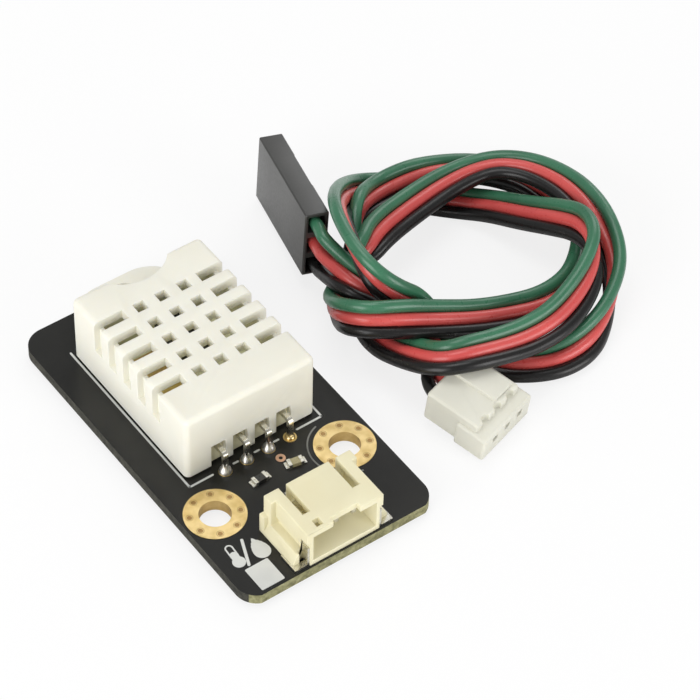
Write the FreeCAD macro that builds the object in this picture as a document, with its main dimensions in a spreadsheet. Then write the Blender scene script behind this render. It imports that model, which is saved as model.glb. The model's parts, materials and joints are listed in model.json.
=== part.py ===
# Temperature and humidity sensor module on its carrier board, with its three-wire lead.
# Millimetres. X runs across the board, Y from the cable socket's edge towards the back,
# Z up. The origin is the middle of the board assembly's footprint, on the table.

import FreeCAD, Part
import math
import os
import re
import Sketcher

vector = FreeCAD.Vector
doc = FreeCAD.newDocument("TemperatureHumiditySensor")

# Driving dimensions

sizes = {
    # carrier board
    "board_width": 22.0,
    "board_length": 40.4,
    "board_thickness": 1.2,
    "board_corner": 2.4,
    "score_depth": 0.2,
    "tail_height": 0.5,
    "copper": 0.06,
    # mounting holes and their plated rings
    "mount_hole": 3.2,
    "mount_spacing": 15.24,
    "mount_setback": 10.6,
    "ring_diameter": 6.2,
    "ring_via": 0.5,
    "ring_via_flat": 0.2,
    "ring_via_circle": 2.5,
    "ring_via_turn": 22.0,
    # sensor case
    "case_width": 15.1,
    "case_length": 20.0,
    "case_height": 7.9,
    "case_gap": 0.3,
    "case_setback": 4.95,
    "case_wall": 1.1,
    "case_roof": 1.2,
    "case_round": 0.6,
    "ear_width": 12.4,
    "ear_length": 4.65,
    "ear_thickness": 2.0,
    "ear_round": 4.2,
    "ear_hole": 3.0,
    "ear_hole_inset": 2.4,
    "recess_radius": 4.6,
    "recess_depth": 2.0,
    # vents
    "vent_pitch": 2.54,
    "vent_size": 1.2,
    "vent_setback": 5.1,
    "slot_inner": 4.3,
    "slot_width": 1.3,
    "groove_depth": 0.65,
    "groove_drop": 3.9,
    # leads
    "lead_pitch": 2.54,
    "lead_size": 0.5,
    "lead_rise": 2.5,
    "lead_reach": 1.1,
    "lead_inside": 2.0,
    "lead_bend": 0.6,
    "pocket_width": 1.7,
    "pocket_height": 2.9,
    "pocket_depth": 0.7,
    "lead_hole": 1.0,
    "lead_pad": 1.7,
    "lead_end": 0.1,
    "fillet_height": 1.5,
    "fillet_foot": 0.84,
    "fillet_tip": 0.37,
    "spare_fillet_height": 0.45,
    "spare_fillet_foot": 0.62,
    "dome_foot": 0.95,
    "dome_tip": 0.55,
    "dome_end": 0.05,
    # inside the case
    "plate_thickness": 1.0,
    "fit_clearance": 0.1,
    "core_side_gap": 0.45,
    "core_end_gap": 1.2,
    "core_thickness": 0.8,
    "core_post": 1.4,
    "post_inset": 0.1,
    "element_width": 4.0,
    "element_length": 5.0,
    "element_thickness": 0.8,
    "element_round": 0.16,
    "element_side": 0.3,
    "element_setback": 6.5,
    "chip_width": 4.0,
    "chip_length": 5.0,
    "chip_thickness": 1.6,
    "chip_offset": 1.0,
    "chip_inset": 0.4,
    "bead_diameter": 1.2,
    "bead_length": 2.0,
    "bead_rise": 0.6,
    "bead_offset": 3.0,
    "bead_setback": 4.4,
    "bead_leg": 0.4,
    # parts soldered beside the socket
    "chip_part_length": 1.6,
    "chip_part_width": 0.8,
    "chip_part_height": 0.5,
    "chip_part_cap": 0.35,
    "chip_part_relief": 0.03,
    "chip_part_foot": 0.3,
    "chip_part_foot_height": 0.17,
    "resistor_x": -1.7,
    "resistor_y": 1.0,
    "capacitor_x": 2.3,
    "capacitor_y": 0.8,
    "via_pad_x": 1.53,
    "via_pad_y": 2.17,
    "via_pad_diameter": 1.0,
    "via_pad_hole": 0.4,
    # cable socket
    "socket_offset": 0.2,
    "socket_width": 8.8,
    "socket_wall": 0.74,
    "socket_height": 4.8,
    "socket_roof": 0.8,
    "socket_floor": 0.6,
    "socket_front_gap": 0.24,
    "socket_length": 6.35,
    "socket_back_wall": 0.9,
    "socket_edge": 0.12,
    "tower_step": 0.6,
    "tower_length": 1.2,
    "rear_slot_width": 0.85,
    "rear_slot_length": 4.0,
    "rear_slot_inset": 1.1,
    "rear_slot_drop": 2.2,
    "cheek_width": 1.1,
    "cheek_height": 1.5,
    "cheek_foot": 0.5,
    "cheek_length": 5.6,
    "cheek_end_length": 0.8,
    "cheek_end_height": 2.5,
    "side_groove_depth": 0.3,
    "side_groove_height": 0.9,
    "lip_depth": 0.6,
    "lip_width": 3.1,
    "lip_offset": 0.15,
    "window_width": 0.75,
    "window_length": 0.9,
    "window_side": 1.35,
    "window_setback": 0.4,
    "contact_pitch": 2.0,
    "contact_size": 0.5,
    "contact_rise": 2.3,
    "contact_inside": 4.0,
    "contact_foot": 1.2,
    "tab_width": 1.3,
    "tab_length": 2.4,
    "tab_thickness": 0.25,
    "tab_setback": 0.1,
    "tab_recess": 0.35,
    "tab_recess_length": 1.2,
    "tab_riser_length": 0.9,
    "tab_riser_height": 2.6,
    "tab_recess_height": 3.2,
    # black housing on the lead's pin end
    "shell_length": 14.0,
    "shell_width": 7.62,
    "shell_depth": 2.54,
    "shell_pitch": 2.54,
    "shell_cavity": 1.9,
    "shell_front_hole": 1.0,
    "shell_front_wall": 1.5,
    "shell_window": 1.3,
    "shell_window_length": 2.2,
    "shell_window_place": 8.2,
    "shell_edge": 0.12,
    "shell_lead_out": 0.8,
    # white plug on the lead's socket end
    "plug_width": 6.9,
    "plug_length": 6.2,
    "plug_nose": 1.4,
    "plug_depth": 4.0,
    "plug_cavity": 1.5,
    "plug_front_wall": 1.2,
    "plug_front_hole": 0.8,
    "plug_key_height": 0.4,
    "plug_key_setback": 0.6,
    "plug_key_side": 0.5,
    "plug_key_gap": 0.1,
    "plug_flange": 0.45,
    "plug_flange_length": 2.2,
    "plug_edge": 0.2,
    "plug_notch": 0.55,
    "plug_notch_depth": 0.9,
    "plug_lead_out": 1.0,
    # wires
    "wire_diameter": 1.3,
    "wire_seat": 2.0,
    "crimp_size": 1.3,
    "crimp_bore": 0.64,
}

sheet = doc.addObject("Spreadsheet::Sheet", "Sizes")
for row, (alias, value) in enumerate(sizes.items(), start=1):
    sheet.set("A%d" % row, alias)
    sheet.set("B%d" % row, str(value))
    sheet.setAlias("B%d" % row, alias)
doc.recompute()

# Heights and places that several pieces share, as expressions on the sheet

board_top = "(tail_height + board_thickness)"
hole_row = "(mount_setback - board_length / 2)"
case_base = "(tail_height + board_thickness + case_gap)"
case_top = "(tail_height + board_thickness + case_gap + case_height)"
case_front = "(mount_setback - board_length / 2 + case_setback)"
case_back = "(mount_setback - board_length / 2 + case_setback + case_length)"
lead_level = "(tail_height + board_thickness + lead_rise)"
lead_row = "(mount_setback - board_length / 2 + case_setback - lead_reach)"
core_base = "(tail_height + board_thickness + lead_rise + lead_size / 2)"
core_front = "(mount_setback - board_length / 2 + case_setback + case_wall + fit_clearance)"
core_width = "(case_width - 2 * case_wall - 2 * core_side_gap)"
core_length = "(case_length - recess_depth - 2 * case_wall - fit_clearance - core_end_gap)"
socket_front = "(socket_front_gap - board_length / 2)"
socket_back = "(socket_front_gap - board_length / 2 + socket_length)"
socket_left = "(socket_offset - socket_width / 2)"


def bound(text):
    """Put the sheet's name before each of its aliases in an expression."""
    return re.sub(r"[a-z]\w+", lambda m: "Sizes." + m.group(0) if m.group(0) in sizes else m.group(0), text)


def number(text):
    """Work out an expression on the sheet as a plain number."""
    names = {alias: float(sheet.get(alias)) for alias in sizes}
    total = FreeCAD.Units.Quantity(re.sub(r"[a-z]\w+", lambda m: repr(names[m.group(0)]), text))
    return total.Value


# Building blocks

def place(piece, at):
    for axis, text in zip("xyz", at):
        piece.setExpression("Placement.Base." + axis, bound(text))


def block(name, lengths, at):
    piece = doc.addObject("Part::Box", name)
    for side, text in zip(("Length", "Width", "Height"), lengths):
        piece.setExpression(side, bound(text))
    place(piece, at)
    return piece


def middle_block(name, lengths, at):
    """A block centred on X and Y at the place given, standing on its Z."""
    corner = ("(%s) - (%s) / 2" % (at[0], lengths[0]), "(%s) - (%s) / 2" % (at[1], lengths[1]), at[2])
    return block(name, lengths, corner)


def rod(name, radius, height, at, turn=None):
    piece = doc.addObject("Part::Cylinder", name)
    piece.setExpression("Radius", bound(radius))
    piece.setExpression("Height", bound(height))
    if turn:
        piece.Placement = FreeCAD.Placement(vector(), turn)
    place(piece, at)
    return piece


def joined(name, pieces):
    union = doc.addObject("Part::MultiFuse", name)
    union.Shapes = pieces
    return union


def cut(name, base, tools):
    result = doc.addObject("Part::Cut", name)
    result.Base = base
    result.Tool = tools[0] if len(tools) == 1 else joined(name + "_tools", tools)
    return result


def rounded(name, base, radius, wanted):
    """Round the edges of base that the test wanted picks."""
    doc.recompute()
    piece = doc.addObject("Part::Fillet", name)
    piece.Base = base
    size = number(radius)
    piece.Edges = [(i, size, size) for i, edge in enumerate(base.Shape.Edges, start=1) if wanted(edge)]
    return piece


def bevelled(name, base, width):
    """Take the sharp corner off every edge of base."""
    doc.recompute()
    piece = doc.addObject("Part::Chamfer", name)
    piece.Base = base
    size = number(width)
    piece.Edges = [(i, size, size) for i in range(1, len(base.Shape.Edges) + 1)]
    return piece


def runs_along(edge, axis):
    ends = [vertex.Point for vertex in edge.Vertexes]
    if len(ends) != 2:
        return False
    step = (ends[1] - ends[0]).normalize()
    return abs(abs(step.dot(axis)) - 1) < 1e-6


def origin_plane(body, role):
    return [feature for feature in body.Origin.OriginFeatures if feature.Role == role][0]


def new_sketch(body, name, role, offset=None):
    sketch = body.newObject("Sketcher::SketchObject", name)
    sketch.AttachmentSupport = (origin_plane(body, role), [""])
    sketch.MapMode = "FlatFace"
    if offset:
        for axis, text in zip("xyz", offset):
            sketch.setExpression("AttachmentOffset.Base." + axis, bound(text))
    return sketch


def pin_down(sketch, index, position, at):
    """Hold a point of the sketch at the place that two expressions give."""
    for kind, text in zip(("DistanceX", "DistanceY"), at):
        item = sketch.addConstraint(Sketcher.Constraint(kind, -1, 1, index, position, number(text)))
        sketch.setExpression("Constraints[%d]" % item, bound(text))


def outline(sketch, corners):
    """A closed outline of straight sides through corners given as expressions."""
    points = [vector(number(x), number(y), 0) for x, y in corners]
    first = sketch.GeometryCount
    for start, end in zip(points, points[1:] + points[:1]):
        sketch.addGeometry(Part.LineSegment(start, end), False)
    for side in range(len(points)):
        after = (side + 1) % len(points)
        sketch.addConstraint(Sketcher.Constraint("Coincident", first + side, 2, first + after, 1))
    for side, corner in enumerate(corners):
        pin_down(sketch, first + side, 1, corner)


def circle(sketch, radius, at):
    middle = vector(number(at[0]), number(at[1]), 0)
    index = sketch.addGeometry(Part.Circle(middle, vector(0, 0, 1), number(radius)), False)
    pin_down(sketch, index, 3, at)
    item = sketch.addConstraint(Sketcher.Constraint("Radius", index, number(radius)))
    sketch.setExpression("Constraints[%d]" % item, bound(radius))


def pad(body, sketch, length, both_ways=False):
    feature = body.newObject("PartDesign::Pad", "Pad")
    feature.Profile = sketch
    feature.setExpression("Length", bound(length))
    feature.Midplane = both_ways
    return feature


def profile(name, role, corners, depth, at):
    """A solid of one outline, with half its depth on each side of the outline's plane."""
    body = doc.addObject("PartDesign::Body", name)
    sketch = new_sketch(body, name + "Outline", role)
    outline(sketch, corners)
    pad(body, sketch, depth, both_ways=True)
    place(body, at)
    return body


def through_pocket(body, sketch):
    feature = body.newObject("PartDesign::Pocket", "Pocket")
    feature.Profile = sketch
    feature.Type = "ThroughAll"
    feature.Midplane = True
    return feature


def ring_of(body, feature, sketch, copies):
    pattern = body.newObject("PartDesign::PolarPattern", "PolarPattern")
    pattern.Originals = [feature]
    pattern.Axis = (sketch, ["N_Axis"])
    pattern.Angle = 360
    pattern.Occurrences = copies
    body.Tip = pattern
    return pattern


def turned(body, sketch):
    feature = body.newObject("PartDesign::Revolution", "Revolution")
    feature.Profile = sketch
    feature.ReferenceAxis = (sketch, ["V_Axis"])
    feature.Angle = 360
    return feature


subparts = {}


def finish(label, piece):
    piece.Label = label
    subparts[label] = piece
    return piece


across_x = FreeCAD.Rotation(vector(0, 1, 0), 90)
along_y = FreeCAD.Rotation(vector(1, 0, 0), -90)

# Carrier board: rounded corners, with the front edge snapped off along its score line

board = doc.addObject("PartDesign::Body", "Board")
plan = new_sketch(board, "BoardPlan", "XY_Plane")
outline(plan, [
    ("-board_width / 2", "-board_length / 2 - score_depth"),
    ("board_width / 2", "-board_length / 2 - score_depth"),
    ("board_width / 2", "board_length / 2"),
    ("-board_width / 2", "board_length / 2"),
])
slab = pad(board, plan, "board_thickness")
doc.recompute()
corners = board.newObject("PartDesign::Fillet", "BoardCorners")
upright = ["Edge%d" % i for i, e in enumerate(slab.Shape.Edges, start=1) if runs_along(e, vector(0, 0, 1))]
corners.Base = (slab, upright)
corners.setExpression("Radius", bound("board_corner"))
score = new_sketch(board, "ScoreLine", "XY_Plane")
outline(score, [
    ("-board_width", "-board_length / 2 - 5 * score_depth"),
    ("board_width", "-board_length / 2 - 5 * score_depth"),
    ("board_width", "-board_length / 2"),
    ("-board_width", "-board_length / 2"),
])
through_pocket(board, score)
drill = new_sketch(board, "DrillHoles", "XY_Plane")
for side in ("-", ""):
    circle(drill, "mount_hole / 2 + copper", (side + "mount_spacing / 2", hole_row))
lead_places = ["-1.5 * lead_pitch", "-0.5 * lead_pitch", "0.5 * lead_pitch", "1.5 * lead_pitch"]
for x in lead_places:
    circle(drill, "lead_hole / 2", (x, lead_row))
through_pocket(board, drill)
ring_sides = {"left": "-mount_spacing / 2", "right": "mount_spacing / 2"}

place(board, ("0", "0", "tail_height"))
finish("circuit_board", board)

# Plated rings: a barrel through each mounting hole with a flange on both faces

for side, x in ring_sides.items():
    ring = doc.addObject("PartDesign::Body", "Ring_" + side)
    ring_section = new_sketch(ring, "RingSection_" + side, "XZ_Plane")
    outline(ring_section, [
        ("mount_hole / 2", "-copper"),
        ("ring_diameter / 2", "-copper"),
        ("ring_diameter / 2", "0"),
        ("mount_hole / 2 + copper", "0"),
        ("mount_hole / 2 + copper", "board_thickness"),
        ("ring_diameter / 2", "board_thickness"),
        ("ring_diameter / 2", "board_thickness + copper"),
        ("mount_hole / 2", "board_thickness + copper"),
    ])
    turned(ring, ring_section)
    spots = new_sketch(ring, "RingVias_" + side, "XY_Plane")
    spots.AttachmentOffset = FreeCAD.Placement(vector(), FreeCAD.Rotation(vector(0, 0, 1), 22))
    spots.setExpression("AttachmentOffset.Rotation.Angle", bound("ring_via_turn"))
    flat = "ring_via / 2"
    short = "ring_via_flat / 2"
    outline(spots, [("ring_via_circle + " + x, y) for x, y in (
        (flat, "-" + short), (flat, short), (short, flat), ("-" + short, flat))]
        + [("ring_via_circle - " + x, y) for x, y in (
            (flat, short), (flat, "-" + short), (short, "-" + flat), ("-" + short, "-" + flat))])
    hole = through_pocket(ring, spots)
    ring_of(ring, hole, spots, 8)
    place(ring, (x, hole_row, "tail_height"))
    finish("mounting_ring_" + side, ring)

# Sensor case: one moulding with a hollow under a vented roof and an ear with a screw hole

case_block = middle_block("CaseBlock", ("case_width", "case_length", "case_height"),
                          ("0", "(%s + %s) / 2" % (case_front, case_back), case_base))
doc.recompute()
case_low = number(case_base)
case_body = rounded("CaseRounded", case_block, "case_round",
                    lambda e: e.BoundBox.ZMax > case_low + 1e-6)
ear_block = block("EarBlock", ("ear_width", "ear_length + case_wall + recess_depth", "ear_thickness"),
                  ("-ear_width / 2", "%s - case_wall - recess_depth" % case_back, case_base))
doc.recompute()
ear_end = number("%s + ear_length" % case_back)
ear = rounded("EarRounded", ear_block, "ear_round",
              lambda e: runs_along(e, vector(0, 0, 1)) and e.BoundBox.YMin > ear_end - 1e-6)
whole = joined("CaseWithEar", [case_body, ear])
hollow = block("CaseHollow", ("case_width - 2 * case_wall",
                              "case_length - 2 * case_wall - recess_depth",
                              "case_height - case_roof"),
               ("case_wall - case_width / 2", "%s + case_wall" % case_front, case_base))
recess = rod("EarRecess", "recess_radius", "case_height",
             ("0", "%s - recess_depth + recess_radius" % case_back, "%s + ear_thickness" % case_base))
ear_bore = rod("EarBore", "ear_hole / 2", "ear_thickness * 2",
               ("0", "%s + ear_length - ear_hole_inset" % case_back, "%s - ear_thickness / 2" % case_base))
openings = [hollow, recess, ear_bore]
roof_low = "(%s - case_roof)" % case_top
vent_rows = ["(%s + vent_setback + %d * vent_pitch)" % (case_front, row) for row in range(5)]
for row, y in enumerate(vent_rows):
    for column in (-1, 0, 1):
        openings.append(middle_block("Vent_%d_%d" % (row, column + 1),
                                     ("vent_size", "vent_size", "case_roof * 2"),
                                     ("%d * vent_pitch" % column, y, roof_low)))
    for side, sign in (("left", "-"), ("right", "")):
        reach = "(case_width / 2 - slot_inner)"
        slot_mid = "%s(slot_inner + case_width / 2) / 2" % sign
        openings.append(middle_block("Slot_%s_%d" % (side, row),
                                     ("%s - groove_depth + 0.01" % reach, "slot_width", "case_roof * 2"),
                                     ("%s(slot_inner + (%s - groove_depth) / 2)" % (sign, reach), y,
                                      roof_low)))
        openings.append(middle_block("Groove_%s_%d" % (side, row),
                                     ("2 * groove_depth", "slot_width", "groove_drop * 2"),
                                     ("%scase_width / 2" % sign, y, "%s - groove_drop" % case_top)))
for i, x in enumerate(lead_places):
    openings.append(middle_block("LeadPocket_%d" % i,
                                 ("pocket_width", "2 * pocket_depth", "pocket_height"),
                                 (x, case_front, "%s - fit_clearance" % case_base)))
    openings.append(middle_block("LeadWay_%d" % i,
                                 ("lead_size + 2 * fit_clearance", "4 * case_wall",
                                  "lead_size / 2 + lead_rise - case_gap + fit_clearance"),
                                 (x, case_front, case_base)))
cover = cut("Cover", whole, openings)
finish("sensor_cover", cover)

# Back plate: closes the hollow from below and carries the inner board on four posts

plate = block("BackPlate", ("case_width - 2 * case_wall - 2 * fit_clearance",
                            "case_length - 2 * case_wall - recess_depth - 2 * fit_clearance",
                            "plate_thickness"),
              ("case_wall + fit_clearance - case_width / 2", core_front, case_base))
posts = []
for i, (across, along) in enumerate(((-1, 0), (1, 0), (-1, 1), (1, 1))):
    x = "%d * (%s / 2 - core_post / 2 - post_inset)" % (across, core_width)
    y = "%s + core_post + %d * (%s - 2 * core_post)" % (core_front, along, core_length)
    posts.append(middle_block("Post_%d" % i, ("core_post", "core_post",
                                              "lead_rise + lead_size / 2 - case_gap"),
                              (x, y, case_base)))
back = joined("BackWithPosts", [plate] + posts)
finish("sensor_back", back)

# Inner board and what it carries

core = block("CoreBoard", (core_width, core_length, "core_thickness"),
             ("-%s / 2" % core_width, core_front, core_base))
finish("sensing_board", core)
core_top = "(%s + core_thickness)" % core_base
element_block = block("ElementBlock", ("element_width", "element_length", "element_thickness"),
                      ("element_side - %s / 2" % core_width, "%s + element_setback" % core_front, core_top))
element = rounded("ElementBody", element_block, "element_round", lambda e: runs_along(e, vector(0, 0, 1)))
finish("humidity_element", element)
chip = middle_block("ChipBlock", ("chip_width", "chip_length", "chip_thickness"),
                    ("chip_offset", "%s + %s - chip_length / 2 - chip_inset" % (core_front, core_length),
                     core_top))
finish("controller_chip", chip)
bead = rod("Bead", "bead_diameter / 2", "bead_length",
           ("bead_offset - bead_length / 2", "%s + bead_setback" % core_front,
            "%s + bead_rise + bead_diameter / 2" % core_top), across_x)
legs = [middle_block("BeadLeg_%d" % i, ("bead_leg", "bead_leg", "bead_rise + bead_diameter / 2"),
                     ("bead_offset + %d * (bead_length / 2 - bead_leg)" % end,
                      "%s + bead_setback" % core_front, core_top))
        for i, end in enumerate((-1, 1))]
thermistor = joined("Thermistor", [bead] + legs)
finish("thermistor", thermistor)

# Leads: out of the case's front, round a bend and down through the board

lead_names = ["lead_supply", "lead_data", "lead_spare", "lead_ground"]
half = "lead_size / 2"
for label, x in zip(lead_names, lead_places):
    lead = doc.addObject("PartDesign::Body", "Body_" + label)
    side_view = new_sketch(lead, "Side_" + label, "YZ_Plane")
    outline(side_view, [
        ("lead_reach + case_wall + lead_inside", "%s - %s" % (lead_level, half)),
        ("lead_reach + case_wall + lead_inside", "%s + %s" % (lead_level, half)),
        ("-%s" % half, "%s + %s" % (lead_level, half)),
        ("-%s" % half, "lead_end"),
        (half, "lead_end"),
        (half, "%s - %s" % (lead_level, half)),
    ])
    strip = pad(lead, side_view, "lead_size", both_ways=True)
    doc.recompute()
    bend_y = -number(half)
    bend_z = number("%s + %s" % (lead_level, half))
    outer = [i for i, e in enumerate(strip.Shape.Edges, start=1)
             if runs_along(e, vector(1, 0, 0)) and abs(e.Vertexes[0].Y - bend_y) < 1e-6
             and abs(e.Vertexes[0].Z - bend_z) < 1e-6]
    bend = lead.newObject("PartDesign::Fillet", "Bend_" + label)
    bend.Base = (strip, ["Edge%d" % i for i in outer])
    bend.setExpression("Radius", bound("lead_bend"))
    place(lead, (x, lead_row, "0"))
    finish(label, lead)

# Gold pads under the leads, and the solder that climbs three of them

pads = []
for i, x in enumerate(lead_places):
    disc = rod("PadDisc_%d" % i, "lead_pad / 2", "copper", (x, lead_row, board_top))
    bore = rod("PadBore_%d" % i, "lead_hole / 2", "3 * copper", (x, lead_row, "%s - copper" % board_top))
    pads.append(cut("Pad_%d" % i, disc, [bore]))
group = doc.addObject("Part::Compound", "LeadPads")
group.Links = pads
finish("lead_pads", group)

joints = []
pad_top = "(%s + copper)" % board_top
for i, x in enumerate(lead_places):
    climbs = [("fillet_foot", pad_top), ("fillet_tip", "%s + fillet_height" % pad_top),
              ("0", "%s + fillet_height" % pad_top)]
    if i == 3:
        climbs = [("spare_fillet_foot", pad_top), ("fillet_tip", "%s + spare_fillet_height" % pad_top),
                  ("0", "%s + spare_fillet_height" % pad_top)]
    blob = doc.addObject("PartDesign::Body", "Solder_%d" % i)
    shape = new_sketch(blob, "SolderProfile_%d" % i, "XZ_Plane")
    outline(shape, [("0", "dome_end"), ("dome_tip", "dome_end"), ("dome_foot", "tail_height"),
                    ("lead_hole / 2", "tail_height"), ("lead_hole / 2", pad_top)] + climbs)
    turned(blob, shape)
    place(blob, (x, lead_row, "0"))
    way = middle_block("SolderWay_%d" % i, ("lead_size", "lead_size",
                                            "%s + fillet_height + tail_height" % pad_top),
                       (x, lead_row, "lead_end"))
    joints.append(cut("SolderJoint_%d" % i, blob, [way]))
group = doc.addObject("Part::Compound", "SolderJoints")
group.Links = joints
finish("solder_joints", group)

# Small parts on the board in front of the case


def chip_part(label, x, y, turn):
    cap_x = "(chip_part_length - chip_part_cap) / 2"
    foot_x = "(chip_part_length + chip_part_foot) / 2"
    pieces = [middle_block(label + "_body", ("chip_part_length - 2 * chip_part_cap", "chip_part_width",
                                             "chip_part_height - 2 * chip_part_relief"),
                           ("0", "0", "chip_part_relief"))]
    for end in (-1, 1):
        pieces.append(middle_block("%s_cap_%d" % (label, end + 1),
                                   ("chip_part_cap", "chip_part_width + 2 * chip_part_relief",
                                    "chip_part_height"),
                                   ("%d * %s" % (end, cap_x), "0", "0")))
        pieces.append(middle_block("%s_foot_%d" % (label, end + 1),
                                   ("chip_part_foot", "chip_part_width", "chip_part_foot_height"),
                                   ("%d * %s" % (end, foot_x), "0", "0")))
    piece = joined(label + "_solid", pieces)
    piece.Placement = FreeCAD.Placement(vector(), FreeCAD.Rotation(vector(0, 0, 1), turn))
    place(piece, (x, y, board_top))
    finish(label, piece)


chip_part("pull_up_resistor", "resistor_x", "%s + resistor_y" % hole_row, 3)
chip_part("decoupling_capacitor", "capacitor_x", "%s + capacitor_y" % hole_row, -11)
via_at = ("via_pad_x", "%s + via_pad_y" % hole_row)
disc = rod("ViaDisc", "via_pad_diameter / 2", "copper", via_at + (board_top,))
bore = rod("ViaBore", "via_pad_hole / 2", "3 * copper", via_at + ("%s - copper" % board_top,))
finish("via_pad", cut("ViaPad", disc, [bore]))

# Cable socket: a moulded box open to the front, with thicker rear corners, sloping cheeks,
# two slots in its roof, a groove along each side and a shallow lip over the mouth

socket_base = ("socket_offset", "%s + socket_length / 2" % socket_front,
               "%s + socket_height / 2" % board_top)
side_x = "socket_width / 2"
tower_x = "socket_width / 2 + tower_step"
cheek_x = "socket_width / 2 + cheek_width"
tower_y = "socket_length / 2 - tower_length"
socket_plan = profile("SocketPlan", "XY_Plane", [
    ("-(%s)" % side_x, "-socket_length / 2"),
    (side_x, "-socket_length / 2"),
    (side_x, tower_y),
    (tower_x, tower_y),
    (tower_x, "socket_length / 2"),
    ("-(%s)" % tower_x, "socket_length / 2"),
    ("-(%s)" % tower_x, tower_y),
    ("-(%s)" % side_x, tower_y),
], "socket_height", socket_base)
doc.recompute()
socket_top = number("%s + socket_height" % board_top)
socket_body = rounded("SocketRounded", socket_plan, "socket_edge",
                      lambda e: e.BoundBox.ZMin > socket_top - 1e-6)
cheek_profile = profile("CheekProfile", "XZ_Plane", [
    ("-(%s)" % cheek_x, "0"),
    (cheek_x, "0"),
    (cheek_x, "cheek_foot"),
    (tower_x, "cheek_height"),
    ("-(%s)" % tower_x, "cheek_height"),
    ("-(%s)" % cheek_x, "cheek_foot"),
], "cheek_length", ("socket_offset", "%s - cheek_length / 2" % socket_back, board_top))
cheek_ends = middle_block("CheekEnds", ("socket_width + 2 * cheek_width", "cheek_end_length",
                                        "cheek_end_height"),
                          ("socket_offset", "%s - cheek_end_length / 2" % socket_back, board_top))
socket_whole = joined("SocketWhole", [socket_body, cheek_profile, cheek_ends])
mouth_height = "(socket_height - socket_roof - socket_floor)"
socket_cuts = [block("SocketMouth", ("socket_width - 2 * socket_wall",
                                     "2 * (socket_length - socket_back_wall)",
                                     mouth_height),
                     ("%s + socket_wall" % socket_left,
                      "%s - (socket_length - socket_back_wall)" % socket_front,
                      "%s + socket_floor" % board_top))]
roof_cut_base = "%s + socket_height - 1.5 * socket_roof" % board_top
socket_cuts.append(middle_block("SocketLip", ("lip_width", "2 * lip_depth", "2 * socket_roof"),
                                ("socket_offset + lip_offset", socket_front, roof_cut_base)))
socket_cuts.append(block("SocketWindow", ("window_width", "window_length", "2 * socket_roof"),
                         ("%s + window_side" % socket_left, "%s + window_setback" % socket_front,
                          roof_cut_base)))
for i, sign in enumerate(("-", "")):
    x = "socket_offset + %s(socket_width / 2 - rear_slot_inset - rear_slot_width / 2)" % sign
    socket_cuts.append(middle_block("RoofSlot_%d" % i, ("rear_slot_width", "2 * rear_slot_length",
                                                        "2 * rear_slot_drop"),
                                    (x, socket_back, "%s + socket_height - rear_slot_drop" % board_top)))
    x = "socket_offset + %ssocket_width / 2" % sign
    groove_length = "(socket_length - tower_length - tab_recess_length)"
    socket_cuts.append(middle_block("SideGroove_%d" % i,
                                    ("2 * side_groove_depth", groove_length, "side_groove_height"),
                                    (x, "%s + tab_recess_length + %s / 2" % (socket_front, groove_length),
                                     "%s + cheek_height" % board_top)))
    socket_cuts.append(middle_block("TabRecess_%d" % i,
                                    ("2 * tab_recess", "2 * tab_recess_length", "tab_recess_height"),
                                    (x, socket_front, board_top)))
contact_places = ["socket_offset - contact_pitch", "socket_offset", "socket_offset + contact_pitch"]
for i, x in enumerate(contact_places):
    socket_cuts.append(middle_block("ContactWay_%d" % i, ("contact_size", "6 * socket_back_wall",
                                                          "contact_size"),
                                    (x, "%s - socket_back_wall / 2" % socket_back,
                                     "%s + contact_rise" % board_top)))
header = cut("Header", socket_whole, socket_cuts)
finish("header_housing", header)

contact_names = ["header_contact_signal", "header_contact_supply", "header_contact_ground"]
pin_length = "(contact_inside + socket_back_wall + contact_size)"
for label, x in zip(contact_names, contact_places):
    pin = middle_block(label + "_pin", ("contact_size", pin_length, "contact_size"),
                       (x, "%s + contact_size - %s / 2" % (socket_back, pin_length),
                        "%s + contact_rise" % board_top))
    drop = middle_block(label + "_drop", ("contact_size", "contact_size", "contact_rise + contact_size"),
                        (x, "%s + contact_size / 2" % socket_back, board_top))
    foot = middle_block(label + "_foot", ("contact_size", "contact_foot", "contact_size / 2"),
                        (x, "%s + contact_foot / 2" % socket_back, board_top))
    finish(label, joined(label + "_solid", [pin, drop, foot]))

tab_y = "%s + tab_setback" % socket_front
for side, sign in (("left", "-"), ("right", "")):
    side_of = "socket_offset + %s(socket_width / 2" % sign
    sole = middle_block("TabSole_" + side, ("tab_width", "tab_length", "tab_thickness"),
                        (side_of + " + tab_width / 2)", "%s + tab_length / 2" % tab_y, board_top))
    bridge = middle_block("TabBridge_" + side, ("tab_recess", "tab_riser_length", "tab_thickness"),
                          (side_of + " - tab_recess / 2)", "%s + tab_riser_length / 2" % tab_y, board_top))
    riser = middle_block("TabRiser_" + side, ("tab_thickness", "tab_riser_length", "tab_riser_height"),
                         (side_of + " - tab_recess + tab_thickness / 2)",
                          "%s + tab_riser_length / 2" % tab_y,
                          board_top))
    keep = middle_block("TabKeep_" + side, ("2 * cheek_width", "cheek_length", "2 * cheek_height"),
                        (side_of + ")", "%s - cheek_length / 2" % socket_back,
                         "%s - cheek_height" % board_top))
    piece = cut("TabClear_" + side, joined("Tab_" + side, [sole, bridge, riser]), [keep])
    finish("header_tab_" + side, piece)

# Black housing on the lead's pin end: three square ways with a latch window each

shell_turn = FreeCAD.Rotation(255, -6.6, -5.2)
shell_mouth = vector(18.8, 11.1, 5.6)
shell_centre = shell_mouth - shell_turn.multVec(vector(number("shell_length / 2"), 0, 0))
ways = [-1, 0, 1]


def stand(piece, turn, centre):
    """Set a finished solid, built about its own middle, in its place beside the board."""
    piece.Placement = FreeCAD.Placement(centre, turn)


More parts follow.
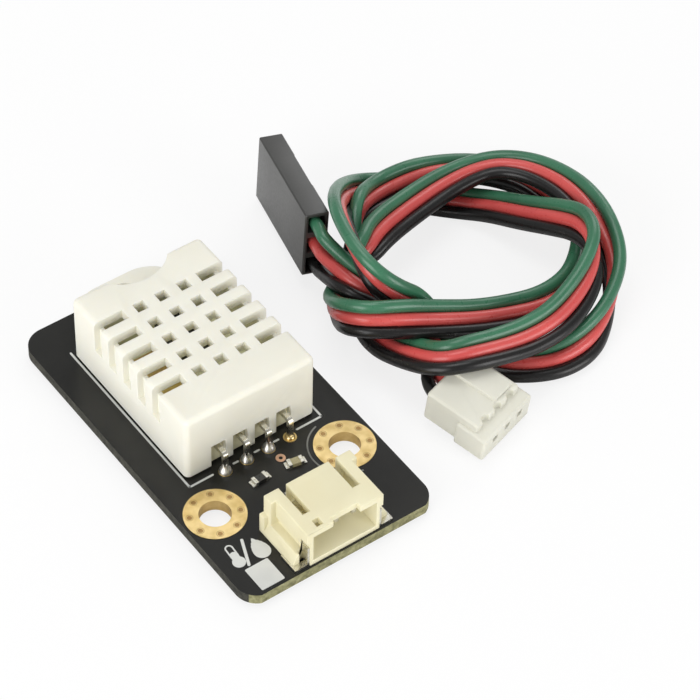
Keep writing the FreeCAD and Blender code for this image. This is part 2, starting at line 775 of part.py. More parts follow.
shell_block = middle_block("ShellBlock", ("shell_length", "shell_depth", "shell_width"), ("0", "0",
                                                                                          "-shell_width / 2"))
shell_body = bevelled("ShellBevelled", shell_block, "shell_edge")
shell_tools = []
for i, step in enumerate(ways):
    z = "%d * shell_pitch" % step
    shell_tools.append(block("ShellWay_%d" % i, ("shell_length - shell_front_wall + 1", "shell_cavity",
                                                 "shell_cavity"),
                             ("shell_front_wall - shell_length / 2", "-shell_cavity / 2",
                              "%s - shell_cavity / 2" % z)))
    shell_tools.append(block("ShellFront_%d" % i, ("2 * shell_front_wall", "shell_front_hole",
                                                   "shell_front_hole"),
                             ("-shell_length / 2 - shell_front_wall / 2", "-shell_front_hole / 2",
                              "%s - shell_front_hole / 2" % z)))
    shell_tools.append(block("ShellWindow_%d" % i, ("shell_window_length", "shell_depth", "shell_window"),
                             ("shell_length / 2 - shell_window_place", "0", "%s - shell_window / 2" % z)))
shell = cut("Shell", shell_body, shell_tools)
stand(shell, shell_turn, shell_centre)
finish("socket_housing", shell)

wire_names = ["green", "red", "black"]
for label, step in zip(["socket_terminal_" + name for name in wire_names], (1, 0, -1)):
    z = "%d * shell_pitch" % step
    box_part = block(label + "_box", ("shell_length / 2", "crimp_size", "crimp_size"),
                     ("shell_front_wall + fit_clearance - shell_length / 2", "-crimp_size / 2",
                      "%s - crimp_size / 2" % z))
    neck = block(label + "_neck", ("shell_length / 2 - shell_front_wall - wire_seat - 2 * fit_clearance",
                                   "crimp_size / 2", "crimp_size / 2"),
                 ("shell_front_wall", "-crimp_size / 4", "%s - crimp_size / 4" % z))
    bore = block(label + "_bore", ("shell_length / 3", "crimp_bore", "crimp_bore"),
                 ("-shell_length / 2", "-crimp_bore / 2", "%s - crimp_bore / 2" % z))
    terminal = cut(label + "_solid", joined(label + "_whole", [box_part, neck]), [bore])
    stand(terminal, shell_turn, shell_centre)
    finish(label, terminal)

# White plug on the lead's other end, which mates with the socket on the board

plug_turn = FreeCAD.Rotation(-73.4, 7, 2)
plug_back = vector(19.7, -9.8, 3.1)
plug_centre = plug_back + plug_turn.multVec(vector(number("plug_length / 2"), 0, 0))
plug_block = middle_block("PlugBlock", ("plug_length", "plug_width", "plug_depth"), ("0", "0",
                                                                                     "-plug_depth / 2"))
plug_body = bevelled("PlugBevelled", plug_block, "plug_edge")
flange = block("PlugFlange", ("plug_flange_length + plug_nose", "plug_width + 2 * plug_flange",
                              "plug_depth - 2 * plug_flange"),
               ("plug_length / 2 - plug_flange_length", "-plug_width / 2 - plug_flange", "-plug_depth / 2"))
flange_body = bevelled("PlugFlangeBevelled", flange, "plug_edge")
key = block("PlugKey", ("plug_length - plug_key_setback", "plug_width / 2 - plug_key_side - plug_key_gap",
                        "2 * plug_key_height"),
            ("-plug_length / 2", "plug_key_gap", "plug_depth / 2 - plug_key_height"))
plug_tools = []
for i, step in enumerate(ways):
    y = "%d * contact_pitch" % step
    plug_tools.append(block("PlugWay_%d" % i, ("plug_length - plug_front_wall + 1", "plug_cavity",
                                               "plug_cavity"),
                            ("-plug_length / 2 - 1", "%s - plug_cavity / 2" % y, "-plug_cavity / 2")))
    plug_tools.append(block("PlugFront_%d" % i, ("2 * plug_front_wall + plug_nose", "plug_front_hole",
                                                 "plug_front_hole"),
                            ("plug_length / 2 - 1.5 * plug_front_wall", "%s - plug_front_hole / 2" % y,
                             "-plug_front_hole / 2")))
    plug_tools.append(rod("PlugNotch_%d" % i, "plug_notch", "2 * plug_notch_depth",
                          ("plug_length / 2", y, "plug_depth / 2 - plug_notch_depth")))
plug = cut("Plug", joined("PlugWhole", [plug_body, flange_body, key]), plug_tools)
stand(plug, plug_turn, plug_centre)
finish("plug_housing", plug)

for label, step in zip(["plug_terminal_" + name for name in wire_names], (1, 0, -1)):
    y = "%d * contact_pitch" % step
    box_part = block(label + "_box", ("plug_length - plug_front_wall - wire_seat - 3 * fit_clearance",
                                      "crimp_size", "crimp_size"),
                     ("wire_seat + 2 * fit_clearance - plug_length / 2", "%s - crimp_size / 2" % y,
                      "-crimp_size / 2"))
    bore = block(label + "_bore", ("plug_length / 3", "crimp_bore", "crimp_bore"),
                 ("plug_length / 2 - plug_front_wall - plug_length / 3", "%s - crimp_bore / 2" % y,
                  "-crimp_bore / 2"))
    terminal = cut(label + "_solid", box_part, [bore])
    stand(terminal, plug_turn, plug_centre)
    finish(label, terminal)

# Wires: a flat ribbon of three, laid by hand in a loose coil. Each stop of the red wire is given
# with the ribbon's lean at that place, 0 standing on edge with green on top and 90 lying flat.

stops = [
    (18.8, 11.1, 5.6, 5), (18.2, 9.0, 5.9, 5), (18.5, 4.0, 6.1, 100), (20.4, 2.3, 4.5, 100),
    (22.5, 0.5, 2.7, 70), (23.9, -2.7, 1.8, 65), (25.4, -6.3, 1.3, 70), (27.0, -9.5, 1.1, 75),
    (29.5, -11.6, 1.4, 70), (32.3, -12.7, 1.6, 60), (35.4, -12.7, 2.0, 40), (38.5, -11.3, 2.3, 10),
    (41.3, -9.2, 3.0, -10), (43.2, -6.9, 3.9, -25), (44.0, -4.3, 5.1, -45), (44.7, -0.8, 5.8, -65),
    (45.2, 3.6, 5.3, -70), (44.2, 7.7, 4.7, -70), (42.1, 10.4, 4.3, -70), (39.4, 11.6, 4.0, -70),
    (35.6, 11.7, 4.1, -70), (31.4, 10.9, 4.6, -65), (25.8, 9.5, 5.1, -60), (22.9, 7.9, 5.1, -20),
    (20.9, 7.9, 4.1, 30), (18.5, 7.7, 2.3, 55), (15.7, 5.6, 2.6, 80), (14.0, 1.2, 6.6, 80),
    (15.8, -1.8, 7.4, 65), (19.5, -3.2, 6.7, 55), (23.2, -4.2, 5.3, 65), (27.0, -5.3, 4.1, 70),
    (31.1, -6.0, 3.0, 70), (34.8, -6.5, 2.3, 60), (38.4, -6.0, 2.1, 45), (41.4, -4.2, 2.0, 40),
    (43.7, -1.3, 2.1, 20), (45.1, 2.2, 2.2, -25), (45.3, 5.8, 1.9, -55), (44.7, 9.0, 1.8, -75),
    (42.8, 11.4, 2.1, -85), (40.1, 13.5, 2.7, -90), (36.7, 14.5, 3.2, -85), (33.5, 15.1, 3.3, -60),
    (29.9, 15.2, 3.2, -60), (26.0, 13.5, 4.8, -15), (23.8, 11.5, 3.6, 5), (23.2, 10.0, 1.7, 40),
    (21.7, 7.2, 0.9, 85), (20.0, 3.7, 0.9, 85), (18.0, -1.1, 2.2, 105), (18.4, -5.4, 4.4, 125),
    (19.3, -9.2, 6.3, 95), (22.0, -10.5, 6.7, 80), (25.6, -10.9, 5.9, 75), (29.1, -11.0, 5.2, 65),
    (32.8, -10.8, 5.2, 60), (36.5, -9.6, 5.7, 45), (39.6, -7.8, 6.4, 25), (41.6, -5.3, 6.7, -5),
    (42.2, -2.3, 6.4, -35), (41.4, 0.5, 5.3, -55), (40.3, 4.0, 3.6, -70), (39.3, 7.9, 1.9, -80),
    (37.4, 11.0, 0.9, -85), (35.1, 13.3, 1.2, -70), (32.7, 15.9, 1.4, -65), (28.9, 17.6, 2.1, -55),
    (23.3, 14.0, 7.0, -8), (20.2, 9.6, 9.9, -20), (18.7, 6.0, 9.8, -40), (18.9, 2.6, 9.4, 0),
    (20.0, 0.3, 7.8, 25), (22.5, -1.0, 4.5, 75), (22.4, -3.2, 3.1, 75), (21.6, -5.0, 2.3, 55),
    (20.1, -6.7, 2.5, 60), (19.7, -9.8, 3.1, 75),
]
pitches = [2.54, 2.3, 1.9, 1.6] + [1.5] * (len(stops) - 6) + [1.7, 2.0]


def ribbon_lines():
    """The three wires' corner points, from the stops, the lean, the pitch and the two connectors."""
    lines = {name: [] for name in wire_names}
    places = [vector(*stop[:3]) for stop in stops]
    places[0] = shell_mouth + shell_turn.multVec(vector(number("shell_lead_out"), 0, 0))
    places[-1] = plug_back - plug_turn.multVec(vector(number("plug_lead_out"), 0, 0))
    for i, (place_now, stop, pitch) in enumerate(zip(places, stops, pitches)):
        along = places[min(i + 1, len(places) - 1)] - places[max(i - 1, 0)]
        along.normalize()
        sideways = vector(0, 0, 1).cross(along).normalize()
        upwards = along.cross(sideways)
        lean = math.radians(stop[3])
        across = sideways * math.sin(lean) + upwards * math.cos(lean)
        if i == 0:
            across = shell_turn.multVec(vector(0, 0, 1))
        if i == len(places) - 1:
            across = plug_turn.multVec(vector(0, 1, 0))
        for name, share in zip(wire_names, (1, 0, -1)):
            lines[name].append(place_now + across * (share * pitch))
    return lines


def softened(corners_of_line, step=24):
    """Straight runs joined by arcs that touch them, and the arcs' radii."""
    path = [corners_of_line[0]]
    radii = []
    for before, corner, after in zip(corners_of_line, corners_of_line[1:], corners_of_line[2:]):
        back_way = before - corner
        on_way = after - corner
        reach = 0.45 * min(back_way.Length, on_way.Length)
        back_way.normalize()
        on_way.normalize()
        turn = math.pi - back_way.getAngle(on_way)
        radius = reach / math.tan(turn / 2)
        radii.append(radius)
        centre = corner + (back_way + on_way).normalize() * (radius / math.cos(turn / 2))
        start = corner + back_way * reach - centre
        end = corner + on_way * reach - centre
        parts = max(1, math.ceil(math.degrees(turn) / step))
        for k in range(parts + 1):
            share = k / parts
            bent = start * math.sin((1 - share) * turn) + end * math.sin(share * turn)
            path.append(centre + bent * (1 / math.sin(turn)))
    path.append(corners_of_line[-1])
    return path, radii


def tube(path, radius, sides=6):
    """A closed tube with flat sides along the path, mitred where the runs meet."""
    runs = [(b - a).normalize() for a, b in zip(path, path[1:])]
    first = vector(0, 0, 1).cross(runs[0]).normalize()
    second = runs[0].cross(first)
    ring = [path[0] + first * (radius * math.cos(2 * math.pi * k / sides))
            + second * (radius * math.sin(2 * math.pi * k / sides)) for k in range(sides)]
    faces = [Part.Face(Part.makePolygon(ring + ring[:1]))]
    for i, run in enumerate(runs):
        cut_normal = (run + runs[i + 1]).normalize() if i + 1 < len(runs) else run
        moved = [point + run * ((path[i + 1] - point).dot(cut_normal) / run.dot(cut_normal)) for point in ring]
        for k in range(sides):
            after = (k + 1) % sides
            faces.append(Part.Face(Part.makePolygon([ring[k], ring[after], moved[after], moved[k],
                                                     ring[k]])))
        ring = moved
    faces.append(Part.Face(Part.makePolygon(ring + ring[:1])))
    shell_of = Part.Shell(faces)
    shell_of.sewShape()
    body = Part.Solid(shell_of)
    if body.Volume < 0:
        body.reverse()
    return body


wire_lines = ribbon_lines()
wire_radius = float(sheet.get("wire_diameter")) / 2
wire_seat = number("wire_seat")
socket_reach = number("shell_lead_out") + wire_seat
plug_reach = number("plug_lead_out") + wire_seat
paths = {}
for name in wire_names:
    line = wire_lines[name]
    into_shell = line[0] - shell_turn.multVec(vector(socket_reach, 0, 0))
    into_plug = line[-1] + plug_turn.multVec(vector(plug_reach, 0, 0))
    free_path, bends = softened(line)
    paths[name] = free_path
    wire = doc.addObject("Part::Feature", "Wire_" + name)
    wire.Shape = tube([into_shell] + free_path + [into_plug], wire_radius)
    finish("wire_" + name, wire)
    length = sum((b - a).Length for a, b in zip(free_path, free_path[1:]))
    print("wire %s: free length %.1f mm, tightest bend %.2f mm at stop %d" % (
        name, length, min(bends), bends.index(min(bends)) + 1))


def least_gap(one, other, skip):
    """Smallest space between two wires' surfaces, from points along their middle lines."""
    def spread(path):
        points = []
        travelled = 0
        for a, b in zip(path, path[1:]):
            count = max(1, int((b - a).Length / 0.3))
            points += [(a + (b - a) * (k / count),
                        travelled + (b - a).Length * k / count) for k in range(count)]
            travelled += (b - a).Length
        return points
    best = 99
    there = spread(other)
    for point, place_on in spread(one):
        for point_b, place_b in there:
            if abs(place_on - place_b) < skip:
                continue
            if abs(point.z - point_b.z) > best or abs(point.x - point_b.x) > best:
                continue
            best = min(best, (point - point_b).Length)
    return best - 2 * wire_radius


for name in wire_names:
    print("wire %s: least gap to itself %.2f mm" % (name, least_gap(paths[name], paths[name], 6)))
for one, other in (("green", "red"), ("red", "black"), ("green", "black")):
    print("wires %s and %s: least gap %.2f mm" % (one, other, least_gap(paths[one], paths[other], 0)))

# Checks and files

doc.recompute()
for piece in doc.Objects:
    if "Invalid" in piece.State or "Error" in piece.State:
        raise SystemExit("not sound: " + piece.Label)
os.makedirs("parts", exist_ok=True)
for label, piece in subparts.items():
    solid = piece.Shape
    if solid.isNull() or not solid.isValid():
        raise SystemExit("bad shape: " + label)
    solid.exportStep("parts/" + label + ".step")
    print("%s: %.2f mm3, %d faces" % (label, solid.Volume, len(solid.Faces)))
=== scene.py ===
import json
import math
import bpy
import bmesh
from mathutils import Matrix, Vector


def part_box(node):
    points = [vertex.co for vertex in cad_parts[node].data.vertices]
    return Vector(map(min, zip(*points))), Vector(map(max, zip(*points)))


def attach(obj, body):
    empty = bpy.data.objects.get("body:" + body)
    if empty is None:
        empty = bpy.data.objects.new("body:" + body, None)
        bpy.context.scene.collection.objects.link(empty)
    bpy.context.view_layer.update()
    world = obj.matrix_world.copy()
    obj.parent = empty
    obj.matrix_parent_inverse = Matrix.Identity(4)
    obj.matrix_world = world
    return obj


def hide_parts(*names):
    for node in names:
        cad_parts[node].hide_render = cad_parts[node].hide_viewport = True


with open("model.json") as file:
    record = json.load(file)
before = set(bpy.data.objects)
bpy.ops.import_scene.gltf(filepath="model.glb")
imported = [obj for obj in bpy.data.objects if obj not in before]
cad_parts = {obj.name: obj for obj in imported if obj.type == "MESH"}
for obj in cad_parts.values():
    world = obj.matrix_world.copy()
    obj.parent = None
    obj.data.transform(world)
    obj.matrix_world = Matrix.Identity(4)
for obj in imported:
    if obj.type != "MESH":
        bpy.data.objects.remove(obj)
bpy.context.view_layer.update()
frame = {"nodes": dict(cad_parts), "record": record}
mm = 0.001


# Camera
view = {
    "azimuth": 36.993,       # degrees from +Y towards +X, the way the camera looks
    "elevation": 47.696,     # degrees below level
    "roll": 1.602,
    "target": (15.331 * mm, 0.222 * mm, 1.7 * mm),
    "distance": 333.58 * mm,
    "lens": 171.99,          # in millimetres, as is the sensor
    "sensor": 36.0,
    "nearest": 0.01,
    "farthest": 20,
}


def addCamera():
    azimuth = math.radians(view["azimuth"])
    elevation = math.radians(view["elevation"])
    level = math.cos(elevation)
    forward = Vector((math.sin(azimuth) * level, math.cos(azimuth) * level, -math.sin(elevation)))
    right = forward.cross(Vector((0, 0, 1))).normalized()
    up = right.cross(forward)
    roll = math.radians(view["roll"])
    rolledRight = right * math.cos(roll) + up * math.sin(roll)
    rolledUp = up * math.cos(roll) - right * math.sin(roll)
    place = Vector(view["target"]) - forward * view["distance"]
    data = bpy.data.cameras.new("photoCamera")
    data.lens = view["lens"]
    data.sensor_width = view["sensor"]
    data.clip_start = view["nearest"]
    data.clip_end = view["farthest"]
    camera = bpy.data.objects.new("photoCamera", data)
    turn = Matrix((rolledRight, rolledUp, -forward)).transposed().to_4x4()
    camera.matrix_world = Matrix.Translation(place) @ turn
    bpy.context.collection.objects.link(camera)
    bpy.context.scene.camera = camera


addCamera()
bpy.context.scene.view_settings.view_transform = "Standard"
print("camera set")

# Shader helpers
noiseReach = {"colour": (0.35, 0.65), "roughness": (0.3, 0.7)}     # where a ramp starts and ends


class Tone:
    # one number or colour travelling through a material, with Python's own operators

    def __init__(self, finish, socket):
        self.finish = finish
        self.socket = socket

    def maths(self, operation, *values):
        return self.finish.add("ShaderNodeMath", {"operation": operation}, dict(enumerate(values)))

    def __add__(self, other):
        return self.maths("ADD", self, other)

    def __radd__(self, other):
        return self.maths("ADD", other, self)

    def __sub__(self, other):
        return self.maths("SUBTRACT", self, other)

    def __rsub__(self, other):
        return self.maths("SUBTRACT", other, self)

    def __mul__(self, other):
        return self.maths("MULTIPLY", self, other)

    def __rmul__(self, other):
        return self.maths("MULTIPLY", other, self)

    def __lt__(self, other):
        return self.maths("LESS_THAN", self, other)

    def __gt__(self, other):
        return self.maths("GREATER_THAN", self, other)

    def __abs__(self):
        return self.maths("ABSOLUTE", self)


class Finish:
    # a material under construction: its node tree, its Principled shader and its output

    def __init__(self, name):
        self.material = bpy.data.materials.new(name)
        self.material.use_nodes = True
        self.tree = self.material.node_tree
        self.tree.nodes.clear()
        self.output = self.tree.nodes.new("ShaderNodeOutputMaterial")
        self.shader = self.tree.nodes.new("ShaderNodeBsdfPrincipled")
        self.tree.links.new(self.shader.outputs["BSDF"], self.output.inputs["Surface"])

    def add(self, kind, settings=None, inputs=None, output=0):
        node = self.tree.nodes.new(kind)
        for key, value in (settings or {}).items():
            if key == "stops":
                ramp = node.color_ramp.elements
                for i, (place, colour) in enumerate(value):
                    stop = ramp[i] if i < len(ramp) else ramp.new(place)
                    stop.position = place
                    stop.color = (*colour, 1)
            else:
                setattr(node, key, value)
        for key, value in (inputs or {}).items():
            self.feed(node.inputs[key], value)
        return Tone(self, node.outputs[output])

    def feed(self, socket, value):
        if isinstance(value, Tone):
            self.tree.links.new(value.socket, socket)
        elif socket.type == "RGBA":
            socket.default_value = (*value, 1)
        else:
            socket.default_value = value

    def set(self, **values):
        for key, value in values.items():
            self.feed(self.shader.inputs[key.replace("_", " ")], value)

    def where(self):
        return self.add("ShaderNodeTexCoord", output="Object")

    def place(self, axis):
        return self.add("ShaderNodeSeparateXYZ", {}, {0: self.where()}, axis)

    def normalPart(self, axis):
        normal = self.add("ShaderNodeNewGeometry", output="Normal")
        return self.add("ShaderNodeSeparateXYZ", {}, {0: normal}, axis)

    def noise(self, scale, detail, roughness=0.5):
        inputs = {"Vector": self.where(), "Scale": scale, "Detail": detail}
        return self.add("ShaderNodeTexNoise", {}, {**inputs, "Roughness": roughness})

    def ramp(self, value, stops):
        return self.add("ShaderNodeValToRGB", {"stops": stops}, {"Fac": value})

    def tint(self, value, darker, colour):
        start, end = noiseReach["colour"]
        return self.ramp(value, [(start, darker), (end, colour)])

    def spread(self, value, low, high):
        start, end = noiseReach["roughness"]
        return self.ramp(value, [(start, [low] * 3), (end, [high] * 3)])

    def mix(self, share, first, second):
        inputs = {0: share, 6: first, 7: second}
        return self.add("ShaderNodeMix", {"data_type": "RGBA"}, inputs, output=2)

    def bump(self, height, strength, distance):
        inputs = {"Height": height, "Strength": strength, "Distance": distance}
        return self.add("ShaderNodeBump", {}, inputs)


def nodeCentre(node):
    low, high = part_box(node)
    return [(a + b) / 2 for a, b in zip(low, high)]


# Kinds of finish: noise as scale (per metre) and detail, bumps as strength and height
plasticLook = {
    "clouds": (180.0, 3.0),
    "grain": (3600.0, 2.0),
    "uneven": 0.05,          # how far the roughness strays
    "bump": (0.12, 0.01 * mm),
    "coatRoughness": 0.4,
    "specular": 0.4,
    "scatterReach": 1.2 * mm,
    "scatterTint": (1.0, 0.9, 0.7),
}


def mouldedPlastic(name, colour, darker, roughness, coat=0.0, scatter=0.0, glow=0.0):
    finish = Finish(name)
    clouds = finish.noise(*plasticLook["clouds"])
    grain = finish.noise(*plasticLook["grain"])
    uneven = plasticLook["uneven"]
    finish.set(Base_Color=finish.tint(clouds, darker, colour))
    finish.set(Roughness=finish.spread(grain, roughness - uneven, roughness + uneven))
    finish.set(Normal=finish.bump(grain, *plasticLook["bump"]))
    finish.set(Coat_Weight=coat, Coat_Roughness=plasticLook["coatRoughness"])
    finish.set(Specular_IOR_Level=plasticLook["specular"])
    if scatter:
        finish.set(Subsurface_Weight=scatter, Subsurface_Scale=plasticLook["scatterReach"])
        finish.set(Subsurface_Radius=plasticLook["scatterTint"])
    if glow:             # painted light: a steady glow that stands for light coming through the moulding
        finish.set(Emission_Color=colour, Emission_Strength=glow)
    return finish.material


metalLook = {
    "clouds": (900.0, 3.0),
    "grain": (5200.0, 2.0),
    "smoother": 0.06,
    "rougher": 0.08,
    "bumpHeight": 0.01 * mm,
}


def brightMetal(name, colour, darker, roughness, bump=0.15):
    finish = Finish(name)
    clouds = finish.noise(*metalLook["clouds"])
    grain = finish.noise(*metalLook["grain"])
    smooth, rough = roughness - metalLook["smoother"], roughness + metalLook["rougher"]
    finish.set(Metallic=1.0, Base_Color=finish.tint(clouds, darker, colour))
    finish.set(Roughness=finish.spread(clouds, smooth, rough))
    finish.set(Normal=finish.bump(grain, bump, metalLook["bumpHeight"]))
    return finish.material


wireLook = {
    "clouds": (260.0, 2.0),
    "grain": (2400.0, 2.0),
    "roughness": (0.26, 0.36),
    "bump": (0.05, 0.05 * mm),
    "coatRoughness": 0.25,
}


def wireSheath(name, colour, darker, specular=0.5, coat=0.2):
    finish = Finish(name)
    clouds = finish.noise(*wireLook["clouds"])
    grain = finish.noise(*wireLook["grain"])
    finish.set(Base_Color=finish.tint(clouds, darker, colour))
    finish.set(Roughness=finish.spread(grain, *wireLook["roughness"]))
    finish.set(Normal=finish.bump(clouds, *wireLook["bump"]))
    finish.set(Specular_IOR_Level=specular)
    finish.set(Coat_Weight=coat, Coat_Roughness=wireLook["coatRoughness"])
    return finish.material


boardLook = {
    "edge": 0.5,             # below this share of Z in its normal a face is an edge
    "end": 0.6,              # above this share of Y a face takes the olive glass-fibre tone; the other edges take the near-black one
    "weave": (1500.0, 4.0, 0.7),
    "glassFibre": [(0.3, (0.11, 0.105, 0.045)), (0.55, (0.27, 0.26, 0.13)),
                   (0.75, (0.42, 0.40, 0.24))],
    "nearBlackEdge": [(0.3, (0.016, 0.016, 0.013)), (0.7, (0.07, 0.068, 0.052))],
    "clouds": (120.0, 3.0),
    "mask": [(0.35, (0.012, 0.012, 0.011)), (0.7, (0.020, 0.020, 0.018))],
    "roughness": [(0.4, [0.8] * 3), (0.6, [0.22] * 3)],      # of the edges, then of the faces
    "bump": (0.04, 0.1 * mm),
    "specular": 0.35,
}


def carrierBoard(name):
    finish = Finish(name)
    level = abs(finish.normalPart("Z"))
    edge = level < boardLook["edge"]
    end = abs(finish.normalPart("Y")) > boardLook["end"]
    weave = finish.noise(*boardLook["weave"])
    glassFibre = finish.ramp(weave, boardLook["glassFibre"])
    nearBlackEdge = finish.ramp(weave, boardLook["nearBlackEdge"])
    clouds = finish.noise(*boardLook["clouds"])
    mask = finish.ramp(clouds, boardLook["mask"])
    sides = finish.mix(end, nearBlackEdge, glassFibre)
    finish.set(Base_Color=finish.mix(edge, mask, sides))
    finish.set(Roughness=finish.ramp(level, boardLook["roughness"]))
    finish.set(Normal=finish.bump(clouds, *boardLook["bump"]))
    finish.set(Specular_IOR_Level=boardLook["specular"])
    return finish.material


chipLook = {
    "capStart": 0.45 * mm,   # from the chip's middle
    "cap": ((0.55, 0.54, 0.48), (0.78, 0.77, 0.72)),
    "grain": (5200.0, 2.0),
    "roughness": (0.26, 0.4),
    "bump": (0.15, 0.01 * mm),
}


def chipPart(name, colour, darker, node, turn):
    finish = Finish(name)
    centre = nodeCentre(node)
    alongX, alongY = math.cos(math.radians(turn)), math.sin(math.radians(turn))
    place = finish.place("X") * alongX + finish.place("Y") * alongY
    fromMiddle = abs(place - (centre[0] * alongX + centre[1] * alongY))
    cap = fromMiddle > chipLook["capStart"]
    grain = finish.noise(*chipLook["grain"])
    bodyTone = finish.tint(grain, darker, colour)
    capTone = finish.tint(grain, *chipLook["cap"])
    finish.set(Base_Color=finish.mix(cap, bodyTone, capTone), Metallic=cap)
    finish.set(Roughness=finish.spread(grain, *chipLook["roughness"]))
    finish.set(Normal=finish.bump(grain, *chipLook["bump"]))
    return finish.material


# Finishes: a colour, its darker tone and a roughness
finishes = {
    "board": carrierBoard("blackSolderMask"),
    "gold": brightMetal("goldPlate", (0.86, 0.67, 0.33), (0.70, 0.51, 0.21), 0.36),
    "copper": brightMetal("roseCopper", (0.78, 0.52, 0.38), (0.62, 0.38, 0.26), 0.38),
    "ivory": mouldedPlastic("ivoryCase", (0.86, 0.845, 0.745), (0.83, 0.81, 0.71), 0.55,
                            scatter=0.35),
    # pale olive is the inner board's own tone; its glow is painted light, for light coming through
    # the case
    "core": mouldedPlastic("oliveCore", (0.60, 0.59, 0.38), (0.50, 0.50, 0.30), 0.45,
                           scatter=0.3, glow=0.30),
    "dark": mouldedPlastic("darkPart", (0.035, 0.035, 0.034), (0.025, 0.025, 0.025), 0.5),
    # painted light: a faint glow brightens the tan element in the shade of the slots
    "tan": mouldedPlastic("tanCeramic", (0.62, 0.54, 0.30), (0.50, 0.42, 0.20), 0.45, glow=0.08),
    "resistor": chipPart("resistorChip", (0.03, 0.03, 0.028), (0.018, 0.018, 0.017),
                         "pull_up_resistor", turn=3),
    "capacitor": chipPart("capacitorChip", (0.40, 0.36, 0.20), (0.32, 0.28, 0.15),
                          "decoupling_capacitor", turn=-11),
    "tin": brightMetal("brightTin", (0.74, 0.72, 0.64), (0.58, 0.56, 0.48), 0.26),
    "solder": brightMetal("solder", (0.97, 0.96, 0.93), (0.88, 0.87, 0.83), 0.33, bump=0.25),
    # painted shade: darker gold for the hollows of the dished vias
    "viaShadedGold": brightMetal("viaShadedGold", (0.46, 0.30, 0.13), (0.33, 0.21, 0.08), 0.5),
    "goldSolder": brightMetal("goldSolder", (0.92, 0.76, 0.44), (0.80, 0.62, 0.30), 0.3),
    # painted shade: olive sheets behind the leads, with a faint painted glow
    "shadeSheetTone": mouldedPlastic("oliveShadeSheet", (0.60, 0.57, 0.40), (0.52, 0.49, 0.33), 0.5,
                             scatter=0.3, glow=0.03),
    "cream": mouldedPlastic("creamSocket", (0.81, 0.76, 0.53), (0.78, 0.72, 0.48), 0.5,
                            scatter=0.1),
    "shell": mouldedPlastic("blackShell", (0.038, 0.038, 0.035), (0.030, 0.030, 0.028), 0.40,
                            coat=0.7),
    "plug": mouldedPlastic("whitePlug", (0.72, 0.71, 0.62), (0.68, 0.67, 0.58), 0.5,
                           scatter=0.12),
    "bronze": brightMetal("tinnedBronze", (0.72, 0.64, 0.46), (0.60, 0.52, 0.36), 0.3),
    "green": wireSheath("greenSheath", (0.042, 0.175, 0.093), (0.034, 0.145, 0.076)),
    "red": wireSheath("redSheath", (0.66, 0.090, 0.082), (0.59, 0.072, 0.068)),
    "black": wireSheath("blackSheath", (0.009, 0.008, 0.008), (0.006, 0.006, 0.006),
                        specular=0.4, coat=0.08),
    "silk": mouldedPlastic("whiteInk", (0.70, 0.71, 0.68), (0.60, 0.61, 0.59), 0.6),
    "greySilk": mouldedPlastic("greyInk", (0.22, 0.22, 0.20), (0.10, 0.10, 0.09), 0.6),
}
slotFinish = {
    "board_black": "board", "gold_plate": "gold", "case_ivory": "ivory", "core_green": "core",
    "part_black": "dark", "part_tan": "tan", "tin": "tin", "socket_cream": "cream",
    "housing_black": "shell", "plug_white": "plug", "brass_plate": "bronze",
    "wire_green": "green", "wire_red": "red", "wire_black": "black",
}
nodeFinish = {
    "pull_up_resistor": "resistor", "decoupling_capacitor": "capacitor", "via_pad": "copper",
}
for row in frame["record"]["subparts"]:
    chosen = nodeFinish.get(row["node"], slotFinish[row["material_slot"]])
    for slot in frame["nodes"][row["node"]].material_slots:
        slot.material = finishes[chosen]
print("finishes made and given to the solids")

# Wires
ribbon = {
    "diameter": 1.3 * mm,
    "sheath": 0.675 * mm,    # radius over the soft sheath
    "startPitch": [2.54 * mm, 2.2 * mm, 1.75 * mm, 1.45 * mm],      # fanned out at the housing
    "pitch": 1.37 * mm,
    "endPitch": [1.6 * mm, 2.0 * mm],                               # and at the plug
    "order": {"green": 1, "red": 0, "black": -1},
    "length": 0.284,
    "seat": 2.0 * mm,        # how far each wire reaches into its housing
    "runSteps": 8,           # of the curve from point to point
    "roundSteps": 5,         # round a quarter of the wire
}
socketEnd = {
    "mouth": Vector((18.8, 11.1, 5.6)) * mm,
    "way": Vector((-0.2571, -0.9595, 0.1149)),        # in which the wires leave
    "across": Vector((0.1172, 0.0871, 0.9893)),       # from black to green
    "straight": 0.8 * mm,
}
plugEnd = {
    "mouth": Vector((19.7, -9.8, 3.1)) * mm,
    "way": Vector((-0.2836, 0.9512, 0.1219)),
    "across": Vector((0.9590, 0.2814, 0.0346)),
    "straight": 1.0 * mm,
}
